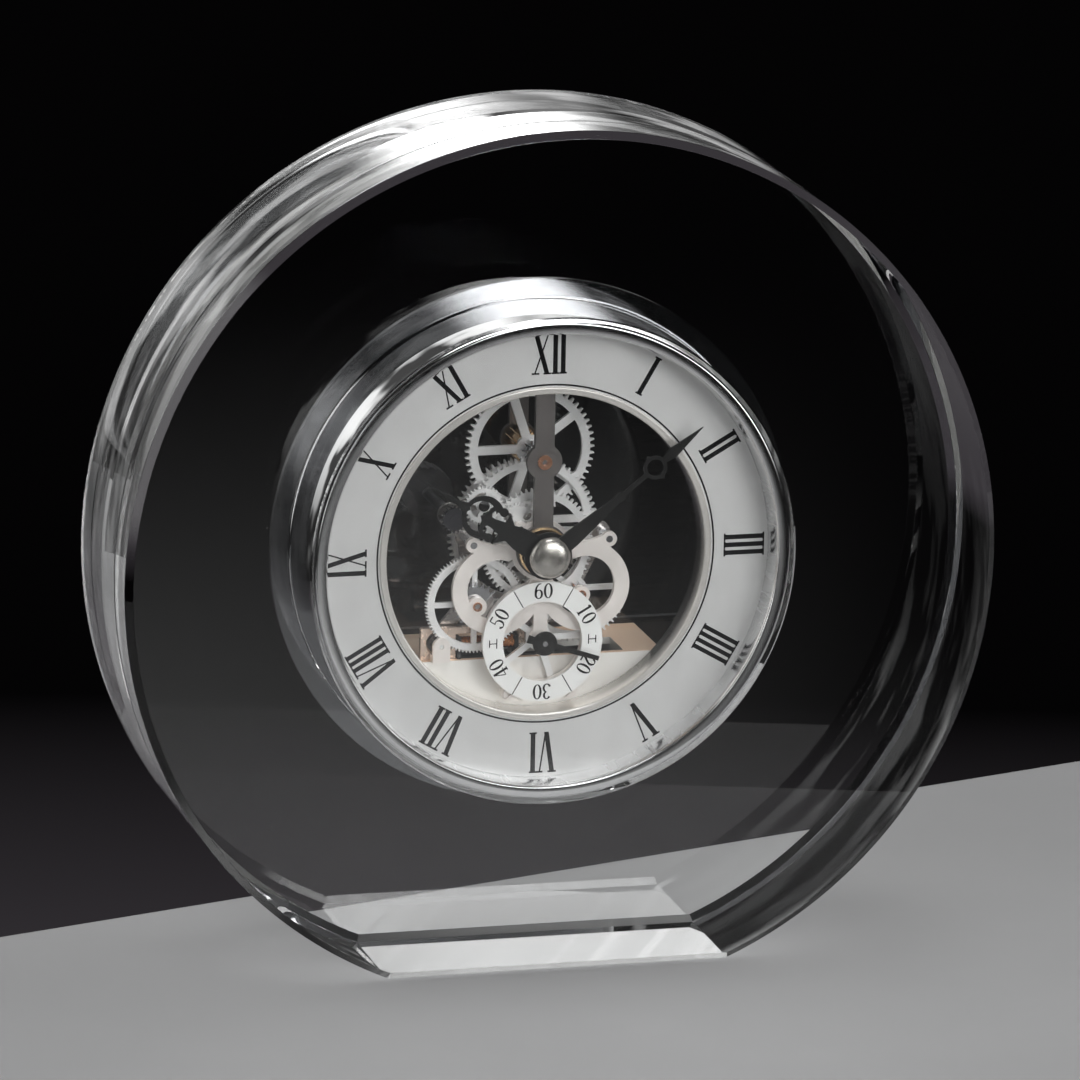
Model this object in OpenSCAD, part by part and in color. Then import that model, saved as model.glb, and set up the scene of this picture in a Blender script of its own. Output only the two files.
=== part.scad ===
// Award clock: a clear crystal disc on a flat foot, bored from the back for a skeleton clock.
// The front faces -Y, the foot rests on Z = 0, and the origin is the centre of the foot.
// Depths are measured backwards from the floor of the bore, along the clock's own axis.

/* [Crystal] */
// Diameter of the disc
disc_d = 150; // [140:1:170]
// Thickness of the disc
disc_t = 36.5; // [33:0.5:42]
// Width of the flat that the disc stands on
foot_w = 59.3; // [45:0.1:75]
// Polished chamfer round both faces
edge_cut = 1.2; // [0.5:0.1:2]
// Glass left in front of the blind bore
web_t = 12; // [9:0.5:15]
// Diameter of the blind bore
bore_d = 84; // [83:0.1:88]

/* [Case] */
// Radial room between the bore and the case tube, filled by the gasket
gasket_room = 0.8; // [0.5:0.1:1.5]
// Wall of the case tube
tube_wall = 1.4; // [1:0.1:2]
// How far the rear flange stands out from the tube
flange_w = 4; // [3:0.1:6]
// Thickness of the rear flange
flange_t = 1.6; // [1:0.1:2.5]
// Width of the gasket along the axis
gasket_w = 3; // [2:0.1:5]
// Width of the bezel's lip over the lens
lip_w = 2.3; // [1.8:0.1:2.6]
// Thickness of the front lens
lens_t = 0.8; // [0.6:0.1:1]
// Thickness of the rear cover
rear_t = 1.5; // [1:0.1:2]

/* [Dial] */
// Room between the lens and the dial, in which the hands turn
dial_room = 4.3; // [4.2:0.1:5]
// Thickness of the chapter ring
dial_t = 0.8; // [0.5:0.1:1]
// Radius of the window in the dial
window_r = 28.3; // [27.5:0.1:30]
// Wall of the polished window flange
flange_wall = 0.7; // [0.5:0.1:1]
// Distance from the centre down to the small seconds arbor
seconds_drop = 15.5; // [15.3:0.1:16]
// Width of the seconds dial's ring
seconds_w = 3.5; // [3:0.1:4]

/* [Hands] */
// Length of the minute hand from its centre
minute_len = 33.9; // [30:0.1:35]
// Length of the hour hand from its centre
hour_len = 25.7; // [22:0.1:27]
// Length of the seconds hand from its centre
seconds_len = 9.9; // [8:0.1:10]
// Where the minute hand points at rest, in degrees past twelve
minute_at = 51; // [0:0.1:360]
// Where the hour hand points at rest, in degrees past twelve
hour_at = 302.5; // [0:0.1:360]
// Where the seconds hand points at rest, in degrees past its top
seconds_at = 108; // [0:0.1:360]
// Thickness of each hand
hand_t = 0.4; // [0.3:0.05:0.5]

/* [Movement] */
// Thickness of the front bridges
bridge_t = 1; // [0.8:0.1:1.2]
// Width of the upper bridge's bar
bar_w = 3.3; // [2.8:0.1:4]
// Radius of each lobe of the heart bridge
lobe_r = 7.8; // [7.4:0.1:8.2]
// Width of the lobe's band
lobe_w = 2.6; // [2.2:0.1:3]
// Thickness of the wheels
wheel_t = 0.7; // [0.5:0.05:0.8]
// Running clearance of every arbor and stud, on the radius
run_gap = 0.05; // [0.03:0.01:0.08]
// Radius of the centre arbor
centre_arbor_r = 0.75; // [0.65:0.05:0.8]
// Radius of the thin arbors
arbor_r = 0.45; // [0.35:0.05:0.5]
// Half the width of the movement base
base_half = 22; // [20:0.5:23]
// Depth of the base's top below the centre
base_drop = 19.1; // [19:0.1:19.6]
// Wall of the movement base
base_wall = 1.2; // [1:0.1:1.6]

/* [Setting] */
// Radius of the setting knob
knob_r = 4.5; // [3.5:0.1:5.5]
// Length of the setting knob
knob_l = 4.5; // [3:0.1:6]

/* [Battery] */
// Diameter of the cell
cell_d = 12; // [11:0.1:12]
// Length of the cell, with its button
cell_l = 30.2; // [28:0.1:30.2]

/* [Hidden] */
$fn = 96;

// Places of the clock in the disc
axis_z = sqrt(pow(disc_d / 2, 2) - pow(foot_w / 2, 2));
floor_y = -disc_t / 2 + web_t;
bore_depth = disc_t - web_t;
bore_r = bore_d / 2;
tube_r = bore_r - gasket_room;
tube_in = tube_r - tube_wall;
slip = 0.1;

// Depths of the case parts, each worked out from the one in front of it
bezel_d = 0.3;
lip_t = 0.6;
lens_d = bezel_d + lip_t;
spacer_d = lens_d + lens_t;
dial_d = spacer_d + dial_room;
ring_d = dial_d + dial_t;
ring_t = 1;
ledge_d = ring_d + ring_t;
ledge_w = 1.2;
window_in = window_r - flange_wall;

// Depths of the hands
nut_t = 1.4;
nut_d = spacer_d + 0.4;
minute_d = nut_d + nut_t;
hour_d = minute_d + hand_t + 0.5;
seconds_hand_d = hour_d + hand_t + 0.8;
collet_l = 1.6;

// Depths of the bridges and of each layer of the train
upper_d = ledge_d;
heart_d = upper_d + bridge_t;
heart_back = heart_d + bridge_t;
layer_gap = 0.2;
layer_1 = heart_back + layer_gap;
layer_2 = layer_1 + wheel_t + layer_gap;
layer_3 = layer_2 + wheel_t + 0.4;
layer_4 = layer_3 + wheel_t + 0.4;
middle_d = layer_4 + wheel_t + 0.6;
middle_t = 0.8;
middle_back = middle_d + middle_t;
layer_5 = middle_back + 0.3;
layer_6 = layer_5 + wheel_t + layer_gap;
layer_7 = layer_6 + wheel_t + 0.4;
great_pinion_d = layer_7 + wheel_t + layer_gap;
great_pinion_l = 5.8;
layer_8 = great_pinion_d + 2.5;
rear_plate_d = great_pinion_d + great_pinion_l + 0.8;
rear_back = rear_plate_d + bridge_t;
rear_d = max(rear_back + 3.5, bore_depth + flange_t + 1.5);
base_d = layer_2 + 0.1;
base_back = rear_d - 0.5;
rear_lens_t = 0.8;

// Teeth and modules of the wheel train, from the motor to the centre
rotor_n = 7;
intermediate_n = 84;
motor_m = 0.2;
intermediate_pinion_n = 20;
seconds_n = 50;
seconds_m = 0.36;
seconds_pinion_n = 8;
third_n = 60;
third_m = 0.3;
third_pinion_n = 8;
centre_n = 64;
centre_m = 0.3;

// Teeth of the motion work, 12 to 1 in two steps, and of the hand-setting wheels
cannon_n = 12;
minute_n = 36;
minute_pinion_n = 10;
hour_n = 40;
motion_span = 5.2;
motion_m = 2 * motion_span / (cannon_n + minute_n);
hour_m = 2 * motion_span / (minute_pinion_n + hour_n);
setting_n = 30;
setting_pinion_n = 20;

// Teeth of the upper train, driven by the rear end of the centre arbor
idler_pinion_n = 9;
idler_n = 62;
great_front_n = 8;
great_n = 60;
upper_m = 0.35;
great_rear_n = 14;
rear_n = 72;

// Where each arbor stands, in the plane of the dial, with the centre at [0, 0]
centre = [0, 0];
seconds_p = [0, -seconds_drop];
third_p = meet(centre, span(centre_m, centre_n, third_pinion_n),
    seconds_p, span(third_m, third_n, seconds_pinion_n), 1);
intermediate_p = polar(seconds_p, span(seconds_m, seconds_n, intermediate_pinion_n), 150.8);
rotor_p = polar(intermediate_p, span(motor_m, intermediate_n, rotor_n), -130);
minute_p = polar(centre, motion_span, 135);
setting_shaft_p = [-14.6, 5.4];
setting_p = meet(minute_p, span(motion_m, minute_n, setting_n),
    setting_shaft_p, span(motion_m, setting_n, setting_pinion_n), -1);
idler_p = [0, span(upper_m, idler_pinion_n, idler_pinion_n)];
great_p = idler_p + [0, span(upper_m, idler_n, great_front_n)];
rear_m = 2 * great_p[1] / (rear_n + great_rear_n);
pillar_p = [11.8, 1.3];
lobe_p = [7.6, -6.6];

// How far each wheel is turned at rest, so that every pair is in mesh
third_turn = 0;
seconds_turn = 0;
third_pinion_turn = mesh(0, centre_n, third_pinion_n, bearing(centre, third_p));
seconds_pinion_turn = mesh(third_turn, third_n, seconds_pinion_n, bearing(third_p, seconds_p));
intermediate_pinion_turn = mesh(seconds_turn, seconds_n, intermediate_pinion_n,
    bearing(seconds_p, intermediate_p));
intermediate_turn = 0;
rotor_turn = mesh(intermediate_turn, intermediate_n, rotor_n, bearing(intermediate_p, rotor_p));
cannon_turn = 0;
minute_turn = mesh(cannon_turn, cannon_n, minute_n, bearing(centre, minute_p));
minute_pinion_turn = 0;
hour_turn = mesh(minute_pinion_turn, minute_pinion_n, hour_n, bearing(minute_p, centre));
setting_turn = mesh(minute_turn, minute_n, setting_n, bearing(minute_p, setting_p));
setting_pinion_turn = mesh(setting_turn, setting_n, setting_pinion_n,
    bearing(setting_p, setting_shaft_p));
idler_pinion_turn = mesh(0, idler_pinion_n, idler_pinion_n, bearing(centre, idler_p));
idler_turn = 0;
great_front_turn = mesh(idler_turn, idler_n, great_front_n, bearing(idler_p, great_p));
great_turn = 36;
great_rear_turn = 0;
rear_turn = mesh(great_rear_turn, great_rear_n, rear_n, bearing(great_p, centre));

// Sizes shared by several pieces
lens_r = tube_in + 0.1;
hour_pipe_r = 2.2;
cannon_pipe_r = 1.6;
bush_r = 3;
boss_r = 3.05;
bush_flange_r = 4.2;
stud_r = 0.55;
pivot_bush_r = 1.25;
screw_r = 1.1;
thread_r = 0.6;
hub_r = 5.2;
post_r = 0.6;
pillar_r = 0.9;
setting_shaft_r = 0.9;
magnet_r = 1.8;
seconds_r = window_in - seconds_drop - 1.7;
bar_end = tube_in - ledge_w - 2.3;
leg_p = seconds_p + (seconds_r + 0.25) * [0.5, -0.866];
cock_r = 1.5;
coil_r = 1.15;
coil_l = 10.6;
coil_p = [-8.3, -16.6];
core_h = 0.9;
base_step = 4;
base_r = tube_in - 0.5;
window_low = -base_drop + 0.9;
rear_window_r = tube_in - 3.8;
door_w = 34.4;
door_h = 13.8;
cell_p = [0, -base_drop - 8.3];
door_p = cell_p - [0, 0.1];
door_gap = 0.3;
hatch_h = door_h - 1.4;
cell_depth = (base_d + base_back) / 2 + 0.8;
cell_wall_x = cell_l / 2 + 0.4;
plug_w = 2 * cell_wall_x - 2 * door_gap;
plug_h = hatch_h - 2 * door_gap;
lug_w = 8;
lug_h = 5.6;

// Distance between the centres of two wheels in mesh
function span(m, a, b) = m * (a + b) / 2;

// Point at a distance and angle from another
function polar(p, r, a) = p + [r * cos(a), r * sin(a)];

// Direction from one point to another
function bearing(p, q) = atan2(q[1] - p[1], q[0] - p[0]);

// Point at distance ra from a and rb from b, to the right of a to b where side is -1
function meet(a, ra, b, rb, side) =
    let (
        d = norm(b - a),
        along = (ra * ra - rb * rb + d * d) / (2 * d),
        off = sqrt(max(ra * ra - along * along, 0)),
        u = (b - a) / d
    )
    a + u * along + [-u[1], u[0]] * off * side;

// Turn of a wheel of nb teeth that puts it in mesh with one of na teeth turned by ta
function mesh(ta, na, nb, dir) = dir + 180 - (ta - dir) * na / nb - 180 / nb;

// Outline of a toothed wheel, with tapering teeth that leave room to run
module teeth(n, m, turn = 0) {
    pitch = PI * m;
    root_r = m * n / 2 - 1.2 * m;
    tip_r = m * n / 2 + 0.9 * m;
    root_half = (n > 25 ? 0.25 : 0.17) * pitch / root_r * 180 / PI;
    tip_half = 0.09 * pitch / tip_r * 180 / PI;
    rotate(turn)
        polygon([for (i = [0 : n - 1], k = [0 : 3])
            let (
                half = (k == 0) ? -root_half : (k == 1) ? -tip_half : (k == 2) ? tip_half : root_half,
                r = (k == 0 || k == 3) ? root_r : tip_r,
                a = 360 * i / n + half
            )
            [r * cos(a), r * sin(a)]]);
}

// Spoked wheel with a rim, a hub and a bore
module wheel(n, m, rim_w, hub, spokes, spoke_w, bore, turn = 0) {
    rim_in = m * n / 2 - 1.2 * m - rim_w;
    difference() {
        teeth(n, m, turn);
        circle(rim_in);
    }
    difference() {
        union() {
            circle(hub);
            for (i = [0 : spokes - 1])
                rotate(turn + 360 * i / spokes)
                    translate([0, -spoke_w / 2])
                        square([rim_in + 0.1, spoke_w]);
        }
        circle(bore);
    }
}

// Flat piece drawn in the dial's plane, from depth d backwards over t
module slab(d, t) {
    translate([0, floor_y + d + t, axis_z])
        rotate([90, 0, 0])
            linear_extrude(t)
                children();
}

// Turned piece about the clock's axis, its profile given as [radius, depth] pairs
module turned(profile) {
    translate([0, floor_y, axis_z])
        rotate([90, 0, 0])
            rotate_extrude()
                polygon([for (p = profile) [p[0], -p[1]]]);
}

module at(p) {
    translate([p[0], p[1]])
        children();
}

// Two equal round spots, to the left and right of the clock's axis
module pair(p, r) {
    for (s = [-1, 1])
        disc([s * p[0], p[1]], r);
}

// Two equal strips, to the left and right of the clock's axis
module strip_pair(p, q, w) {
    for (s = [-1, 1])
        strip([s * p[0], p[1]], [s * q[0], q[1]], w);
}

module ring(outer, inner) {
    difference() {
        circle(outer);
        circle(inner);
    }
}

module disc(p, r) {
    at(p)
        circle(r, $fn = 48);
}

// Straight strip between two points
module strip(p, q, w) {
    at(p)
        rotate(bearing(p, q))
            translate([0, -w / 2])
                square([norm(q - p), w]);
}

// Slotted screw: a head with a slot, and a plain shank behind it
module screw(p, d, head_t, shank_l) {
    difference() {
        slab(d, head_t)
            disc(p, screw_r);
        slab(d - 0.01, head_t / 2)
            at(p)
                rotate(40)
                    square([2.4 * screw_r, 0.35], center = true);
    }
    slab(d + head_t, shank_l)
        disc(p, thread_r);
}

module crystal_block() {
    half = disc_t / 2;
    r = disc_d / 2;
    color([0.86, 0.9, 0.92, 0.35])
        difference() {
            intersection() {
                translate([0, 0, axis_z])
                    rotate([90, 0, 0])
                        rotate_extrude($fn = 180)
                            polygon([[0, -half], [r - edge_cut, -half], [r, edge_cut - half],
                                [r, half - edge_cut], [r - edge_cut, half], [0, half]]);
                foot_block();
            }
            turned([[0, 0], [bore_r, 0], [bore_r, bore_depth + 1], [0, bore_depth + 1]]);
        }
}

// The disc is cut flat here, with the same polished chamfer along the foot's long edges
module foot_block() {
    half = disc_t / 2;
    r = disc_d;
    translate([-r, 0, 0])
        rotate([90, 0, 90])
            linear_extrude(2 * r)
                polygon([[-half + edge_cut, 0], [half - edge_cut, 0], [half, edge_cut],
                    [half, 2 * r], [-half, 2 * r], [-half, edge_cut]]);
}

module gasket() {
    start = bore_depth - 1.5 - gasket_w;
    color([0.1, 0.1, 0.1])
        turned([[tube_r, start], [bore_r - 0.05, start + 0.4], [bore_r - 0.05, start + gasket_w - 0.4],
            [tube_r, start + gasket_w]]);
}

module case_tube() {
    color([0.78, 0.79, 0.81])
        difference() {
            union() {
                turned([[tube_in, spacer_d], [tube_r, spacer_d], [tube_r, bore_depth],
                    [tube_r + flange_w, bore_depth], [tube_r + flange_w, bore_depth + flange_t - 0.4],
                    [tube_r + flange_w - 0.4, bore_depth + flange_t], [tube_r, bore_depth + flange_t],
                    [tube_r, rear_d], [tube_in, rear_d], [tube_in, ledge_d + ledge_w],
                    [tube_in - ledge_w, ledge_d + ledge_w], [tube_in - ledge_w, ledge_d],
                    [tube_in, ledge_d]]);
                slab(rear_back, 2)
                    intersection() {
                        at([-lug_w / 2, tube_in - lug_h])
                            square([lug_w, lug_h + 0.5]);
                        circle(tube_in + 0.5);
                    }
            }
            slab(rear_back - 0.1, 1.6)
                disc([0, tube_in - lug_h / 2], thread_r + run_gap);
        }
}

module front_bezel() {
    skirt_in = lens_r + slip;
    color([0.8, 0.81, 0.83])
        turned([[tube_r - lip_w, lens_d], [tube_r - lip_w + 0.3, bezel_d], [tube_r - 0.5, bezel_d],
            [tube_r, bezel_d + 0.5], [tube_r, spacer_d], [skirt_in, spacer_d], [skirt_in, lens_d]]);
}

module front_lens() {
    color([0.9, 0.94, 0.96, 0.3])
        slab(lens_d, lens_t)
            circle(lens_r);
}

module dial_spacer() {
    wall = 0.7;
    out = tube_in - slip;
    color([0.8, 0.81, 0.82])
        turned([[out - wall, spacer_d], [out, spacer_d], [out, dial_d], [out - wall - 0.3, dial_d]]);
}

module chapter_ring() {
    color([0.72, 0.73, 0.75])
        slab(dial_d, dial_t)
            ring(tube_in - slip, window_r);
}

module window_flange() {
    lip = 0.5;
    back = base_d - 0.2;
    color([0.85, 0.85, 0.85])
        difference() {
            turned([[window_in, back], [window_in, dial_d - 0.1],
                [window_r - flange_wall / 2, dial_d - 0.4], [window_r + lip, dial_d - 0.3],
                [window_r + lip, dial_d], [window_r - run_gap, dial_d], [window_r - run_gap, back]]);
            slab(upper_d - 0.1, base_d - upper_d)
                at([0, window_r])
                    square([bar_w + 0.6, 6], center = true);
        }
}

module movement_ring() {
    color([0.45, 0.45, 0.47])
        difference() {
            slab(ring_d, ring_t)
                ring(tube_in - slip, window_r);
            for (p = movement_screw_places())
                slab(ring_d - 0.1, ring_t + 0.2)
                    disc(p, thread_r + run_gap);
        }
}

function movement_screw_places() = [[20.5, -base_drop - 6], [-20.5, -base_drop - 6],
    [0, (window_r + tube_in) / 2]];

module movement_screws() {
    color([0.7, 0.7, 0.72]) {
        for (i = [0, 1])
            slab(ring_d, ring_t + 3)
                disc(movement_screw_places()[i], thread_r);
        slab(ring_d, ring_t + bridge_t)
            disc(movement_screw_places()[2], thread_r);
    }
}

module upper_bridge() {
    color([0.34, 0.32, 0.31])
        slab(upper_d, bridge_t)
            difference() {
                union() {
                    strip([0, hub_r - 2], [0, bar_end], bar_w);
                    disc(great_p, boss_r);
                    disc(centre, bush_flange_r + 0.3);
                }
                circle(bush_r);
                disc(great_p, pivot_bush_r);
                disc(movement_screw_places()[2], thread_r + run_gap);
            }
}

module heart_outline() {
    difference() {
        union() {
            pair(lobe_p, lobe_r);
            circle(hub_r);
        }
        pair(lobe_p, lobe_r - lobe_w);
        pair([4.2, -3.9], 2.6);
    }
    circle(hub_r);
    strip(centre, seconds_p, 2.4);
    disc(seconds_p, 1.8);
    at(seconds_p)
        ring(seconds_r - 0.4, seconds_r - seconds_w + 0.3);
    pair(leg_p, 1.3);
    disc(third_p, 1.5);
    disc(minute_p, 1.3);
    disc(intermediate_p, 1.6);
    pair(pillar_p, 1.3);
    strip_pair(pillar_p, lobe_p + [0, lobe_r - 1.3], 2);
}

module heart_bridge() {
    color([0.76, 0.72, 0.68])
        slab(heart_d, bridge_t)
            difference() {
                heart_outline();
                circle(bush_r);
                for (p = [seconds_p, third_p, intermediate_p])
                    disc(p, 0.8);
                disc(minute_p, stud_r);
                pair(pillar_p, post_r);
                pair(leg_p, thread_r + run_gap);
            }
}

module bridge_screws() {
    color([0.8, 0.8, 0.82]) {
        for (s = [-1, 1])
            screw([s * leg_p[0], leg_p[1]], heart_d - 0.6, 0.6, base_d - heart_d + base_wall - 0.1);
        slab(rear_plate_d - 0.6, 0.6)
            disc([0, tube_in - lug_h / 2], screw_r);
        slab(rear_plate_d, bridge_t + 1)
            disc([0, tube_in - lug_h / 2], thread_r);
    }
}

// Copper-coloured bushes that carry the front pivots
module pivot_bushes() {
    color([0.72, 0.42, 0.28]) {
        slab(upper_d - 0.3, bridge_t + 0.3)
            at(great_p)
                ring(pivot_bush_r - 0.01, arbor_r + run_gap);
        for (p = [seconds_p, third_p, intermediate_p])
            slab(heart_d - 0.2, bridge_t + 0.2)
                at(p)
                    ring(0.79, arbor_r + run_gap);
    }
}

module centre_bush() {
    bore = hour_pipe_r + run_gap;
    color([0.79, 0.58, 0.36])
        turned([[bore, upper_d - 0.6], [bush_flange_r - 0.3, upper_d - 0.6],
            [bush_flange_r, upper_d - 0.3], [bush_flange_r, upper_d], [bush_r - 0.01, upper_d],
            [bush_r - 0.01, heart_back], [bore, heart_back]]);
}

module bridge_pillars() {
    color([0.75, 0.75, 0.77])
        for (s = [-1, 1]) {
            slab(heart_back, middle_d - heart_back)
                disc([s * pillar_p[0], pillar_p[1]], pillar_r);
            slab(heart_d, middle_back - heart_d)
                disc([s * pillar_p[0], pillar_p[1]], post_r - 0.01);
        }
}

module middle_plate() {
    w = 2.4;
    foot = -base_drop;
    color([0.6, 0.58, 0.56])
        slab(middle_d, middle_t)
            difference() {
                union() {
                    circle(2.6);
                    disc(seconds_p, 1.8);
                    disc(third_p, 1.8);
                    disc(intermediate_p, 1.8);
                    disc(rotor_p, 1.6);
                    disc(idler_p, 1.8);
                    disc(setting_p, 1.6);
                    disc(setting_shaft_p, 2);
                    pair(pillar_p, 1.6);
                    strip(centre, [0, foot], w);
                    strip(seconds_p, third_p, w);
                    strip(third_p, pillar_p, w);
                    strip(seconds_p, intermediate_p, w);
                    strip(intermediate_p, rotor_p, w);
                    strip(intermediate_p, [-pillar_p[0], pillar_p[1]], w);
                    strip([-pillar_p[0], pillar_p[1]], setting_shaft_p, w);
                    strip(setting_shaft_p, setting_p, w);
                    at([-4, foot])
                        square([8, 1.6]);
                }
                circle(centre_arbor_r + run_gap);
                for (p = [seconds_p, third_p, intermediate_p])
                    disc(p, arbor_r + run_gap);
                disc(rotor_p, 0.35 + run_gap);
                disc(setting_shaft_p, setting_shaft_r + run_gap);
                for (p = [idler_p, setting_p])
                    disc(p, stud_r);
                pair(pillar_p, post_r);
            }
}

module rear_plate() {
    color([0.36, 0.34, 0.33])
        slab(rear_plate_d, bridge_t)
            difference() {
                union() {
                    strip([0, -base_drop], [0, tube_in - 0.4], bar_w);
                    circle(3);
                    disc(great_p, boss_r);
                    at([-5, -base_drop])
                        square([10, 1.6]);
                }
                circle(0.8);
                disc(great_p, arbor_r + run_gap);
                disc([0, tube_in - lug_h / 2], thread_r + run_gap);
            }
}

module seconds_dial() {
    front = heart_d - 1.6;
    face_t = 0.5;
    color([0.85, 0.85, 0.84]) {
        slab(front, face_t)
            at(seconds_p)
                ring(seconds_r, seconds_r - seconds_w);
        for (a = [90, 210, 330])
            slab(front + face_t, heart_d - front - face_t)
                disc(polar(seconds_p, seconds_r - seconds_w / 2, a), post_r);
    }
}

module centre_arbor() {
    collar_d = layer_3 + wheel_t + 0.05;
    color([0.72, 0.72, 0.74]) {
        slab(nut_d + 0.5, layer_5 + wheel_t - nut_d - 0.5)
            circle(centre_arbor_r, $fn = 48);
        slab(collar_d, 0.25)
            ring(1.4, centre_arbor_r - 0.1);
        slab(layer_5, wheel_t)
            teeth(idler_pinion_n, upper_m, 0);
    }
}

module cannon_pinion() {
    color([0.76, 0.76, 0.78])
        difference() {
            union() {
                slab(minute_d, layer_2 - 0.1 - minute_d)
                    circle(cannon_pipe_r, $fn = 48);
                slab(layer_2 - 0.1, wheel_t + 0.2)
                    teeth(cannon_n, motion_m, cannon_turn);
            }
            slab(minute_d - 0.1, layer_3 - minute_d)
                circle(centre_arbor_r + 0.02, $fn = 48);
        }
}

// Dished spring washer that lets the hands slip on the centre wheel when they are set
module clutch_washer() {
    color([0.68, 0.6, 0.4])
        turned([[centre_arbor_r + 0.1, layer_3 - 0.25], [1.4, layer_3 - 0.25], [2.6, layer_3 - 0.15],
            [2.6, layer_3 - 0.05], [1.4, layer_3 - 0.12], [centre_arbor_r + 0.1, layer_3 - 0.12]]);
}

module centre_wheel() {
    color([0.78, 0.79, 0.81])
        slab(layer_3, wheel_t)
            wheel(centre_n, centre_m, 1.1, 2.8, 5, 0.9, centre_arbor_r + run_gap);
}

module minute_wheel() {
    color([0.77, 0.77, 0.79])
        difference() {
            union() {
                slab(layer_1, wheel_t)
                    at(minute_p)
                        teeth(minute_pinion_n, hour_m, minute_pinion_turn);
                slab(layer_1 + wheel_t, layer_gap)
                    disc(minute_p, 0.75);
                slab(layer_2, wheel_t)
                    at(minute_p)
                        teeth(minute_n, motion_m, minute_turn);
            }
            slab(layer_1 - 0.1, 2 * wheel_t + 0.4)
                disc(minute_p, stud_r + run_gap);
            for (a = [0, 90, 180, 270])
                slab(layer_2 - 0.1, wheel_t + 0.2)
                    disc(polar(minute_p, 2.4, a + 45), 0.8);
        }
}

module minute_wheel_stud() {
    color([0.7, 0.7, 0.72]) {
        slab(heart_d + 0.2, layer_2 + wheel_t + 0.05 - heart_d - 0.2)
            disc(minute_p, stud_r - 0.01);
        slab(layer_2 + wheel_t + 0.05, 0.15)
            disc(minute_p, 0.9);
    }
}

module hour_wheel() {
    color([0.8, 0.8, 0.82])
        difference() {
            union() {
                slab(layer_1, wheel_t)
                    teeth(hour_n, hour_m, hour_turn);
                slab(hour_d - 0.2, layer_1 - hour_d + 0.2)
                    circle(hour_pipe_r, $fn = 64);
            }
            slab(hour_d - 0.3, layer_1 + wheel_t - hour_d + 0.4)
                circle(cannon_pipe_r + run_gap, $fn = 64);
        }
}

module third_wheel() {
    color([0.78, 0.79, 0.81])
        slab(layer_4, wheel_t)
            at(third_p)
                wheel(third_n, third_m, 1.1, 2, 5, 0.9, arbor_r + 0.01, third_turn);
}

module third_arbor() {
    color([0.7, 0.7, 0.72]) {
        slab(heart_d + 0.1, middle_back - heart_d - 0.2)
            disc(third_p, arbor_r);
        slab(layer_3 - 0.1, wheel_t + 0.2)
            at(third_p)
                teeth(third_pinion_n, centre_m, third_pinion_turn);
    }
}

module seconds_wheel() {
    color([0.78, 0.79, 0.81])
        slab(layer_1, wheel_t)
            at(seconds_p)
                wheel(seconds_n, seconds_m, 1, 2.2, 5, 1.1, arbor_r + 0.01, seconds_turn);
}

module seconds_arbor() {
    front = seconds_hand_d - 0.2;
    color([0.7, 0.7, 0.72]) {
        slab(front, middle_back - front - 0.1)
            disc(seconds_p, arbor_r);
        slab(layer_4 - 0.1, wheel_t + 0.2)
            at(seconds_p)
                teeth(seconds_pinion_n, third_m, seconds_pinion_turn);
    }
}

module intermediate_wheel() {
    color([0.8, 0.81, 0.83])
        slab(layer_2, wheel_t)
            at(intermediate_p)
                wheel(intermediate_n, motor_m, 1.2, 1.6, 4, 0.9, arbor_r + 0.01, intermediate_turn);
}

module intermediate_arbor() {
    color([0.7, 0.7, 0.72]) {
        slab(heart_d + 0.1, middle_back - heart_d - 0.2)
            disc(intermediate_p, arbor_r);
        slab(layer_1, wheel_t)
            at(intermediate_p)
                teeth(intermediate_pinion_n, seconds_m, intermediate_pinion_turn);
    }
}

module rotor_magnet() {
    color([0.25, 0.25, 0.27])
        slab(layer_3 + 0.2, 1.8)
            at(rotor_p)
                ring(magnet_r, 0.36);
}

module rotor_arbor() {
    color([0.85, 0.85, 0.82]) {
        slab(layer_1, middle_back - layer_1 - 0.1)
            disc(rotor_p, 0.35);
        slab(layer_2 - 0.1, wheel_t + 0.2)
            at(rotor_p)
                teeth(rotor_n, motor_m, rotor_turn);
    }
}

// Small cock that stands on the base and carries the rotor's front pivot
module rotor_bridge() {
    foot = [rotor_p[0], -base_drop];
    color([0.74, 0.7, 0.66])
        difference() {
            union() {
                slab(layer_1 - 0.1, wheel_t) {
                    disc(rotor_p, cock_r);
                    strip(foot, rotor_p, 2 * cock_r);
                }
                slab(layer_1 - 0.1, layer_3 - layer_1)
                    at([foot[0] - cock_r, foot[1]])
                        square([2 * cock_r, 1.2]);
            }
            slab(layer_1 - 0.2, wheel_t + 0.4)
                disc(rotor_p, 0.35 + run_gap);
        }
}

// Soft-iron frame round the rotor, with the coil's core as its lower arm
module stator() {
    left = coil_p[0] - coil_l / 2 - 0.2;
    right = coil_p[0] + coil_l / 2 + 0.2;
    top = rotor_p[1] + 2.6;
    arm_w = 1.1;
    color([0.5, 0.5, 0.53]) {
        slab(layer_3 + 0.4, 1)
            difference() {
                union() {
                    at([rotor_p[0] - 3, -base_drop])
                        square([left - rotor_p[0] + 3, top + base_drop]);
                    at([left - 0.5, top - arm_w])
                        square([right - left + 1.5, arm_w]);
                    at([right, coil_p[1] - core_h / 2])
                        square([1, top - coil_p[1] + core_h / 2]);
                    at([left - 0.5, coil_p[1] - core_h / 2])
                        square([right - left + 1, core_h]);
                }
                disc(rotor_p, magnet_r + 0.3);
            }
    }
}

module along_coil(x, l) {
    translate([coil_p[0] + x, floor_y + layer_3 + 0.9, axis_z + coil_p[1]])
        rotate([0, 90, 0])
            linear_extrude(l)
                children();
}

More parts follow.
